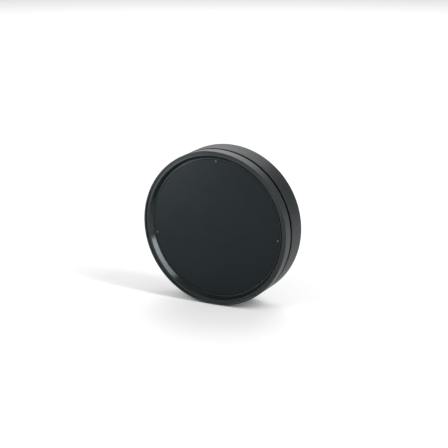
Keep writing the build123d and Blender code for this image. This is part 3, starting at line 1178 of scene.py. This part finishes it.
@dataclass
class Housing:
    """The round housing, its back plate and the screws that hold it.

    Attributes:
        seat_clearance: Between the holder or plate and its seat.
        step_gap: Between the spigot's tip and the step behind it.
        flange_thickness: Thickness of the inner flange.
        flange_ledge: Width of the flange under the holder.
        back_edge: Rounding of the back edge.
        groove_edge: Rounding of the edge beside the groove.
        plate_edge: Rounding of the edge round the back plate.
        bore_edge: Rounding of the bore's mouth.
        step_edge: Rounding of the bore's step.
        wear_inset: From the back edge in to its rubbed line.
        screw_count: Number of screws.
        screw_head_radius: Radius of a screw's head.
        screw_shank_radius: Radius of its shank.
        screw_inset: From the plate's edge to the screws.
    """

    seat_clearance: float = 0.1
    step_gap: float = 0.4
    flange_thickness: float = 1.4
    flange_ledge: float = 3.0
    back_edge: float = 0.45
    groove_edge: float = 0.22
    plate_edge: float = 0.12
    bore_edge: float = 0.15
    step_edge: float = 0.08
    wear_inset: float = 0.1
    screw_count: int = 4
    screw_head_radius: float = 1.8
    screw_shank_radius: float = 0.95
    screw_inset: float = 2.2

    def build(self, shop: Workshop) -> None:
        """Makes the housing's pieces and coats the plates.

        Args:
            shop: The trees and the frame's nodes.
        """
        outer = radius_of("housing_shell")
        front = front_of("housing_shell")
        bore = radius_of("cap_o_ring") + SEAL_CLEARANCE
        step = back_of("cap_ring") - self.step_gap
        holder = radius_of("prism_holder")
        plate = radius_of("back_plate") + self.seat_clearance
        flange_back = front_of("back_gasket")
        flange_front = flange_back + self.flange_thickness
        outline = (
            Outline()
            .to(plate, 0, self.plate_edge)
            .to(outer, 0, self.back_edge)
            .to(outer, front, self.groove_edge)
            .to(bore, front, self.bore_edge)
            .to(bore, step, self.step_edge)
            .to(holder + self.seat_clearance, step, self.step_edge)
            .to(holder + self.seat_clearance, flange_front)
            .to(holder - self.flange_ledge, flange_front)
            .to(holder - self.flange_ledge, flange_back)
            .to(plate, flange_back)
        )
        edges = ((outer - self.wear_inset, self.wear_inset), (outer, front), (plate, 0.0))
        finish = outer_black("black_anodised_housing", outer, edges, 0.22)
        shell = shop.turning.turn("turned_housing", outline, finish)
        shop.place(shell, "housing", finish, "housing_shell")
        shop.coat(PLATE_BLACK, "back_plate")
        shop.coat(SEAL_RUBBER, "back_gasket")
        screw = Screw(
            self.screw_head_radius,
            self.screw_shank_radius,
            length=front_of("back_screws"),
            circle_radius=radius_of("back_plate") - self.screw_inset,
            face_height=0.0,
            into=1,
        )
        screws = shop.ring.run(
            "back_screw_set",
            screw.mesh("back_screw"),
            BRIGHT_STEEL,
            Count=self.screw_count,
            Start_Angle=TAU / self.screw_count / 2,
        )
        shop.place(screws, "housing", BRIGHT_STEEL, "back_screws")


@dataclass
class PoleInsert:
    """The stainless insert with the pole thread.

    Attributes:
        pitch: Thread pitch, for 11 turns to the inch.
        crest_radius: Radius of the thread's crests.
        depth: Depth of the thread.
        body_radius: Radius of the insert's body.
        flange_thickness: Thickness of its hidden flange.
        floor: Thickness of metal beyond the thread.
        relief: Length of the plain relief at the thread's end.
        mouth_margin: From the thread's root out to its lead-in cone at the back face.
        mouth_land: From the lead-in cone out to the back face's first corner.
        flange_edge: Rounding of the flange.
        front_edge: Rounding of the front.
        back_edge: Rounding of the back.
    """

    CREST_SHARE = 0.25
    FLANK_SHARE = 0.3125

    pitch: float = 25.4 / 11
    crest_radius: float = 6.75
    depth: float = 1.25
    body_radius: float = 10.5
    flange_thickness: float = 1.8
    floor: float = 1.6
    relief: float = 1.3
    mouth_margin: float = 0.12
    mouth_land: float = 0.25
    flange_edge: float = 0.15
    front_edge: float = 0.2
    back_edge: float = 0.18

    def build(self, shop: Workshop) -> None:
        """Makes the insert with its thread, and coats its seal and dowels.

        Args:
            shop: The trees and the frame's nodes.
        """
        front = front_of("mount_insert")
        plate = front_of("back_plate")
        flange = radius_of("mount_insert")
        bottom = front - self.floor
        root = self.crest_radius + self.depth
        mouth = root + self.mouth_margin
        outline = (
            Outline(closed=False)
            .to(0, front)
            .to(self.body_radius, front, self.front_edge)
            .to(self.body_radius, plate + self.flange_thickness)
            .to(flange, plate + self.flange_thickness, self.flange_edge)
            .to(flange, plate, self.flange_edge)
            .to(self.body_radius, plate)
            .to(self.body_radius, 0, self.back_edge)
            .to(mouth + self.mouth_land, 0)
            .thread(self._thread_rows(bottom))
            .to(root, bottom)
            .to(0, bottom)
        )
        insert = shop.turning.turn(
            "pole_insert",
            outline,
            TURNED_STEEL,
            segments=192,
            Lead=self.pitch * MM,
            Mouth_Radius=mouth * MM,
            Relief_Radius=root * MM,
            Relief_Height=(bottom - self.relief) * MM,
            Floor_Height=bottom * MM,
        )
        shop.place(insert, "housing", TURNED_STEEL, "mount_insert")
        shop.coat(SEAL_RUBBER, "insert_o_ring")
        shop.coat(BRIGHT_STEEL, "insert_dowels")

    def _thread_rows(self, bottom: float) -> list[tuple[float, float]]:
        """Corners of a 60 degree thread from one turn before the mouth to past the floor.

        Args:
            bottom: Height of the thread's floor.

        Returns:
            Each corner's radius and height at angle 0.
        """
        crest_flat, flank = self.CREST_SHARE * self.pitch, self.FLANK_SHARE * self.pitch
        root = self.crest_radius + self.depth
        rows = []
        for turn in range(-1, math.ceil(bottom / self.pitch) + 1):
            start = turn * self.pitch
            rows.append((self.crest_radius, start))
            rows.append((self.crest_radius, start + crest_flat))
            rows.append((root, start + crest_flat + flank))
            rows.append((root, start + self.pitch - flank))
        return rows


@dataclass
class PrismCluster:
    """The ring of corner cubes in their holder, and what clamps them.

    Attributes:
        count: Number of cubes.
        cube_radius: Radius of a cube's round rim.
        cube_edge: Chamfer round its front face.
        holder_wall: Metal outside the pockets.
        pocket_clearance: Between a cube and its pocket.
        clamp_head_radius: Radius of a clamp screw's head.
        clamp_shank_radius: Radius of its shank.
        screw_inset: From the clamp plate's edge to its screws.
        target_head_radius: Radius of the target screw's head.
        target_shank_radius: Radius of its shank.
    """

    CUBE_STEPS = 96

    count: int = 8
    cube_radius: float = 6.35
    cube_edge: float = 0.15
    holder_wall: float = 1.1
    pocket_clearance: float = 0.1
    clamp_head_radius: float = 1.4
    clamp_shank_radius: float = 0.8
    screw_inset: float = 2.4
    target_head_radius: float = 1.8
    target_shank_radius: float = 0.95

    def build(self, shop: Workshop) -> None:
        """Makes the cubes and screws, and coats the holder, plate, cushions and target.

        Args:
            shop: The trees and the frame's nodes.
        """
        holder = radius_of("prism_holder")
        circle = holder - self.holder_wall - self.pocket_clearance - self.cube_radius
        for index in range(self.count):
            name = f"corner_cube_{index + 1}"
            mesh = self._cube(f"glass_cube_{index + 1}", name, circle, (index + 0.5) / self.count)
            shop.place(shop.from_mesh(mesh, PRISM_GLASS), "housing", PRISM_GLASS, name)
            shop.coat(CUSHION_SILICONE, f"prism_cushion_{index + 1}")
        shop.coat(INNER_BLACK, "prism_holder")
        shop.coat(PLATE_BLACK, "clamp_plate")
        shop.coat(SEAL_RUBBER, "prism_gasket")
        shop.coat(TARGET, "aiming_disc")
        face = front_of("clamp_plate")
        screw = Screw(
            self.clamp_head_radius,
            self.clamp_shank_radius,
            length=face - back_of("clamp_screws"),
            circle_radius=holder - self.screw_inset,
            face_height=face,
            into=-1,
        )
        screws = shop.ring.run(
            "clamp_screw_set",
            screw.mesh("clamp_screw"),
            BRIGHT_STEEL,
            Count=self.count,
            Start_Angle=0.0,
        )
        shop.place(screws, "housing", BRIGHT_STEEL, "clamp_screws")
        middle = Screw(
            self.target_head_radius,
            self.target_shank_radius,
            length=face - back_of("aiming_disc_screw"),
            circle_radius=0.0,
            face_height=face,
            into=-1,
        )
        piece = shop.from_mesh(middle.mesh("target_screw"), BRIGHT_STEEL)
        shop.place(piece, "housing", BRIGHT_STEEL, "aiming_disc_screw")

    def _cube(self, name: str, node: str, circle: float, turn: float) -> bpy.types.Mesh:
        """One corner cube: three square facets to a point, under a round rim.

        Args:
            name: The mesh's name.
            node: The CAD node it stands for.
            circle: Radius of the circle that it stands on.
            turn: Its place on the circle, as a share of a turn.

        Returns:
            The mesh.
        """
        steps = self.CUBE_STEPS
        apex, front = back_of(node), front_of(node)
        turns = np.arange(steps) * TAU / steps
        off_middle = (turns + TAU / 6) % (TAU / 3) - TAU / 6
        facet_edge = apex + math.sqrt(2) * self.cube_radius * np.cos(off_middle)
        levels = [
            ring_points(self.cube_radius, facet_edge, RingShape.ROUND, steps),
            ring_points(self.cube_radius, front - self.cube_edge, RingShape.ROUND, steps),
            ring_points(self.cube_radius - self.cube_edge, front, RingShape.ROUND, steps),
        ]
        angle = turn * TAU
        rings = [at_angle(level, circle, angle) for level in levels]
        ends = at_angle(np.array([[0, apex, 0], [0, front, 0]]), circle, angle)
        return stacked_mesh(name, rings, ends[0], ends[1])


@dataclass
class Cover:
    """The push-on cover: ring, recessed face, pins, liner and seals.

    Attributes:
        lip_width: Width of the rounded lip.
        lip_crest: Width of the lip's crest.
        lip_outer_edge: Rounding of its outer edge.
        lip_inner_edge: Rounding of its inner edge.
        lip_foot: Rounding where the crest comes down to the bevel.
        bevel_edge: Rounding of the bevel's top.
        bevel_foot: Rounding of the bevel's foot.
        ledge_edge: Rounding of the ledge beside the groove.
        recess_edge: Rounding of the ledge beside the face.
        seat_edge: Rounding behind the face's seat.
        underside_edge: Rounding of the edge beside the groove in the body.
        tip_edge: Rounding of the spigot's inner edge.
        lead_in: Rounding of the spigot's outer edge.
        ring_groove_edge: Rounding of the O-ring groove's edges.
        lip_drop: From the crest down to the bevel's start.
        bevel_width: Width of the bevel, seen from the front.
        ledge_width: Width of the ledge inside the bevel.
        ledge_step: Height of the ledge above the face.
        groove_width: Width of the fine groove at the bevel's foot.
        groove_depth: Its depth.
        spigot_inner_gap: Between the spigot and the holder inside it.
        spigot_clearance: Between the spigot and the bore.
        seal_face_clearance: Between the gasket and the spigot.
        ring_groove_width: Width of the O-ring's groove.
        ring_groove_depth: Its depth.
        wear_inset: From the lip's outer edge in to its rubbed line.
        face_edge: Rounding of the face's front edge.
        face_back_edge: Rounding of its back edge.
        face_border: Width of the last band of mesh at its edge.
        liner_edge: Rounding of the liner's edge.
        gasket_edge: Rounding of the gasket's edges.
        pin_angles: Places of the face's pins, in degrees.
        pin_radius: Radius of a pin.
        pin_inset: From the face's edge to the pins.
        pin_depth: How far a pin goes in behind the face.
    """

    PIN_STEPS = 32
    DOME_STEPS = 6
    SECTION_STEPS = 24

    lip_width: float = 2.15
    lip_crest: float = 0.85
    lip_outer_edge: float = 0.25
    lip_inner_edge: float = 0.15
    lip_foot: float = 0.1
    bevel_edge: float = 0.12
    bevel_foot: float = 0.03
    ledge_edge: float = 0.05
    recess_edge: float = 0.09
    seat_edge: float = 0.08
    underside_edge: float = 0.22
    tip_edge: float = 0.1
    lead_in: float = 0.25
    ring_groove_edge: float = 0.06
    lip_drop: float = 0.6
    bevel_width: float = 1.2
    ledge_width: float = 0.65
    ledge_step: float = 0.1
    groove_width: float = 0.2
    groove_depth: float = 0.25
    spigot_inner_gap: float = 0.7
    spigot_clearance: float = 0.1
    seal_face_clearance: float = 0.05
    ring_groove_width: float = 1.4
    ring_groove_depth: float = 1.14
    wear_inset: float = 0.1
    face_edge: float = 0.12
    face_back_edge: float = 0.1
    face_border: float = 1.2
    liner_edge: float = 0.2
    gasket_edge: float = 0.35
    pin_angles: tuple[float, ...] = (90.0, 191.0, 356.0)
    pin_radius: float = 0.45
    pin_inset: float = 0.7
    pin_depth: float = 1.5

    def build(self, shop: Workshop) -> None:
        """Makes all of the cover's pieces.

        Args:
            shop: The trees and the frame's nodes.
        """
        self._ring(shop)
        self._face(shop)
        self._pins(shop)
        self._seals(shop)

    def _spigot_radius(self) -> float:
        """Radius of the spigot that pushes into the bore."""
        return radius_of("cap_o_ring") + SEAL_CLEARANCE - self.spigot_clearance

    def _ring(self, shop: Workshop) -> None:
        """The ring with its lip, bevel and spigot.

        Args:
            shop: The trees and the frame's nodes.
        """
        outer, top = radius_of("cap_ring"), front_of("cap_ring")
        tip, underside = back_of("cap_ring"), front_of("cap_gasket")
        face_top, face_back = front_of("cap_face"), back_of("cap_face")
        recess = outer - self.lip_width - self.bevel_width - self.ledge_width
        inner = radius_of("prism_holder") + self.spigot_inner_gap
        spigot = self._spigot_radius()
        middle = (front_of("cap_o_ring") + back_of("cap_o_ring")) / 2
        half = self.ring_groove_width / 2
        bevel = outer - self.lip_width
        crest = outer - self.lip_crest
        foot = bevel - self.bevel_width
        ledge = face_top + self.ledge_step
        outline = (
            Outline()
            .to(inner, tip, self.tip_edge)
            .to(spigot, tip, self.lead_in)
            .to(spigot, middle - half, self.ring_groove_edge)
            .to(spigot - self.ring_groove_depth, middle - half)
            .to(spigot - self.ring_groove_depth, middle + half)
            .to(spigot, middle + half, self.ring_groove_edge)
            .to(spigot, underside)
            .to(outer, underside, self.underside_edge)
            .to(outer, top, self.lip_outer_edge)
            .to(crest, top, self.lip_inner_edge)
            .to(crest, top - self.lip_drop, self.lip_foot)
            .to(bevel, top - self.lip_drop, self.bevel_edge)
            .to(foot, ledge, self.bevel_foot)
            .to(foot, ledge - self.groove_depth)
            .to(foot - self.groove_width, ledge - self.groove_depth)
            .to(foot - self.groove_width, ledge, self.ledge_edge)
            .to(recess, ledge, self.recess_edge)
            .to(recess, face_back)
            .to(inner, face_back, self.seat_edge)
        )
        edges = ((outer - self.wear_inset, top - self.wear_inset), (outer, underside))
        finish = outer_black("black_anodised_cover", outer, edges, 0.18, gloss=0.4)
        ring = shop.turning.turn("cover_ring", outline, finish)
        shop.place(ring, "cap", finish, "cap_ring")

    def _face(self, shop: Workshop) -> None:
        """The flat face and the foam behind it.

        Args:
            shop: The trees and the frame's nodes.
        """
        top, back, radius = front_of("cap_face"), back_of("cap_face"), radius_of("cap_face")
        outline = Outline(closed=False).to(0, back).to(radius, back, self.face_back_edge)
        outline.to(radius, top, self.face_edge).to(radius - self.face_border, top).to(0, top)
        shop.place(shop.turning.turn("cover_face", outline, FACE), "cap", FACE, "cap_face")
        top, back, radius = front_of("cap_liner"), back_of("cap_liner"), radius_of("cap_liner")
        outline = Outline(closed=False).to(0, back).to(radius, back, self.liner_edge)
        outline.to(radius, top).to(0, top)
        liner = shop.turning.turn("cover_liner", outline, LINER_FOAM)
        shop.place(liner, "cap", LINER_FOAM, "cap_liner")

    def _pins(self, shop: Workshop) -> None:
        """The small domed pins at the face's edge.

        Args:
            shop: The trees and the frame's nodes.
        """
        face = front_of("cap_face")
        top = front_of("cap_face_pins")
        circle = radius_of("cap_face") - self.pin_inset
        stand = top - face
        foot = back_of("cap_face") - self.pin_depth
        lifts = [step / self.DOME_STEPS * TAU / 4 for step in range(self.DOME_STEPS)]
        levels = [(self.pin_radius, foot)]
        levels += [
            (self.pin_radius * math.cos(lift), top - stand + stand * math.sin(lift))
            for lift in lifts
        ]
        meshes = []
        for degrees in self.pin_angles:
            angle = math.radians(degrees)
            rings = [
                at_angle(ring_points(*level, RingShape.ROUND, self.PIN_STEPS), circle, angle)
                for level in levels
            ]
            ends = at_angle(np.array([[0, foot, 0], [0, top, 0]]), circle, angle)
            meshes.append(stacked_mesh("pin", rings, ends[0], ends[1]))
        pins = shop.from_mesh(joined_mesh("cover_pins", meshes), PIN_STEEL)
        shop.place(pins, "cap", PIN_STEEL, "cap_face_pins")

    def _seals(self, shop: Workshop) -> None:
        """The gasket in the groove and the O-ring on the spigot.

        Args:
            shop: The trees and the frame's nodes.
        """
        top, back, radius = front_of("cap_gasket"), back_of("cap_gasket"), radius_of("cap_gasket")
        inner = self._spigot_radius() + self.seal_face_clearance
        edge = self.gasket_edge
        outline = Outline().to(inner, back).to(radius, back, edge).to(radius, top, edge)
        outline.to(inner, top)
        gasket = shop.turning.turn("cover_gasket", outline, SEAL_RUBBER)
        shop.place(gasket, "cap", SEAL_RUBBER, "cap_gasket")
        section = (front_of("cap_o_ring") - back_of("cap_o_ring")) / 2
        middle = back_of("cap_o_ring") + section
        circle = radius_of("cap_o_ring") - section
        outline = Outline()
        for step in range(self.SECTION_STEPS):
            turn = TAU * step / self.SECTION_STEPS
            outline.to(circle + section * math.cos(turn), middle + section * math.sin(turn))
        o_ring = shop.turning.turn("cover_o_ring", outline, SEAL_RUBBER)
        shop.place(o_ring, "cap_seal", SEAL_RUBBER, "cap_o_ring")


def joined_mesh(name: str, meshes: Iterable[bpy.types.Mesh]) -> bpy.types.Mesh:
    """Joins meshes, and removes the ones that it joined.

    Args:
        name: The new mesh's name.
        meshes: The meshes.

    Returns:
        The new mesh, with its sharp edges marked.
    """
    places: list[Sequence[float]] = []
    faces: list[list[int]] = []
    for mesh in meshes:
        start = len(places)
        places += [tuple(vertex.co) for vertex in mesh.vertices]
        faces += [[start + corner for corner in face.vertices] for face in mesh.polygons]
        bpy.data.meshes.remove(mesh)
    joined = bpy.data.meshes.new(name)
    joined.from_pydata(places, [], faces)
    joined.shade_smooth()
    joined.set_sharp_from_angle(angle=SHARP_ANGLE)
    return joined


# ---- Studio ---------------------------------------------------------------------------------


@dataclass(frozen=True)
class Softbox:
    """A rectangular soft light aimed at the object.

    Attributes:
        name: The light's name.
        azimuth: Degrees round the object: 0 is in front of it and 90 on its +X side.
        elevation: Degrees above the floor.
        distance: From the object, in metres.
        width: Width, in metres.
        height: Height, in metres.
        power: Watts.
    """

    name: str
    azimuth: float
    elevation: float
    distance: float
    width: float
    height: float
    power: float

    def build(self, aim: Vector) -> None:
        """Makes the light.

        Args:
            aim: The point that it faces.
        """
        turn, lift = math.radians(self.azimuth), math.radians(self.elevation)
        away = Vector(
            (
                math.sin(turn) * math.cos(lift),
                -math.cos(turn) * math.cos(lift),
                math.sin(lift),
            )
        )
        light = bpy.data.lights.new(self.name, "AREA")
        light.shape = "RECTANGLE"
        light.size = self.width
        light.size_y = self.height
        light.energy = self.power
        lamp = bpy.data.objects.new(self.name, light)
        lamp.visible_camera = False
        lamp.location = aim + away * self.distance
        lamp.rotation_euler = away.to_track_quat("Z", "Y").to_euler()
        bpy.context.scene.collection.objects.link(lamp)


@dataclass
class Studio:
    """Pale floor, soft light and the camera.

    Attributes:
        azimuth: The camera's direction round the object, in degrees.
        elevation: The camera's height above the horizon, in degrees.
        distance: From the camera to the cover's front edge, in body radii.
        aim_right: How far the front's middle stands right of the picture's middle, in radii.
        aim_down: How far it stands below the picture's middle, in radii.
        focal_length: Lens, in mm on a 36 mm sensor.
        ambient: Strength of the pale surroundings.
        lights: The soft lights.
    """

    azimuth: float = 26.70
    elevation: float = 16.07
    distance: float = 18.825
    aim_right: float = -0.133
    aim_down: float = 0.0658
    focal_length: float = 120.5
    ambient: float = 0.5
    lights: tuple[Softbox, ...] = (
        Softbox("right_strip", 81.0, 33.0, 1.0, 0.19, 1.0, 7.6),
        Softbox("front_softbox", -24.0, 40.0, 1.0, 0.35, 0.35, 2.3),
        Softbox("back_softbox", 205.0, 25.0, 1.0, 0.9, 0.42, 2.7),
        Softbox("overhead_softbox", 190.0, 57.0, 1.0, 0.9, 0.5, 2.7),
        Softbox("low_panel", -42.0, 2.0, 0.3, 0.12, 0.1, 0.3),
    )

    def build(self) -> None:
        """Makes the floor, the surroundings, the lights and the camera."""
        radius = radius_of("housing_shell") * MM
        self._floor(-radius)
        self._surroundings()
        aim = Vector((0.0, -0.5 * front_of("cap_ring") * MM, 0.0))
        for light in self.lights:
            light.build(aim)
        self._camera(radius)

    def _floor(self, height: float) -> None:
        """A large plain floor that the rim stands on.

        Args:
            height: The floor's height, in metres.
        """
        reach = 6.0
        mesh = bpy.data.meshes.new("studio_floor")
        corners = [(-reach, -reach), (reach, -reach), (reach, reach), (-reach, reach)]
        mesh.from_pydata([(x, y, height) for x, y in corners], [], [(0, 1, 2, 3)])
        graph = ShaderGraph("studio_paper")
        fibre = graph.noise(1.4, 3.0)
        graph.set(
            Base_Color=graph.mix(fibre, (0.87, 0.87, 0.87), (0.89, 0.89, 0.89)),
            Roughness=0.75 + fibre * 0.1,
            Specular_IOR_Level=0.25,
        )
        mesh.materials.append(graph.material)
        floor = bpy.data.objects.new("studio_floor", mesh)
        bpy.context.scene.collection.objects.link(floor)

    def _surroundings(self) -> None:
        """Even pale surroundings."""
        world = bpy.data.worlds.new("studio_surroundings")
        world.use_nodes = True
        graph = Graph(world.node_tree)
        world.node_tree.nodes.clear()
        sockets = {"Color": (1.0, 1.0, 1.0, 1.0), "Strength": self.ambient}
        glow = graph.node("ShaderNodeBackground", None, sockets)
        graph.node("ShaderNodeOutputWorld", None, {"Surface": glow.outputs[0]})
        bpy.context.scene.world = world

    def _camera(self, radius: float) -> None:
        """The camera, whose distance and aim follow the body's radius.

        Args:
            radius: The body's radius, in metres.
        """
        turn, lift = math.radians(self.azimuth), math.radians(self.elevation)
        right = Vector((math.cos(turn), math.sin(turn), 0.0))
        up = Vector(
            (-math.sin(turn) * math.sin(lift), math.cos(turn) * math.sin(lift), math.cos(lift))
        )
        ahead = up.cross(right)
        front = Vector((0.0, -front_of("cap_ring") * MM, 0.0))
        lens = bpy.data.cameras.new("studio_camera")
        lens.sensor_width = 36.0
        lens.lens = self.focal_length
        lens.clip_start = 0.01
        camera = bpy.data.objects.new("studio_camera", lens)
        camera.location = (
            front
            - right * self.aim_right * radius
            + up * self.aim_down * radius
            - ahead * self.distance * radius
        )
        camera.rotation_euler = Matrix((right, up, -ahead)).transposed().to_euler()
        bpy.context.scene.collection.objects.link(camera)
        bpy.context.scene.camera = camera


def clear_startup() -> None:
    """Removes the objects that a new file starts with."""
    for thing in list(bpy.data.objects):
        bpy.data.objects.remove(thing)


def main() -> None:
    """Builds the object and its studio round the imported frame."""
    logging.basicConfig(level=logging.INFO, format="%(name)s: %(message)s")
    clear_startup()
    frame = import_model()
    bpy.context.scene.view_settings.view_transform = "Standard"
    shop = Workshop(frame["nodes"])
    for assembly in (Housing(), PoleInsert(), PrismCluster(), Cover()):
        assembly.build(shop)
    Studio().build()


if __name__ == "__main__":
    main()
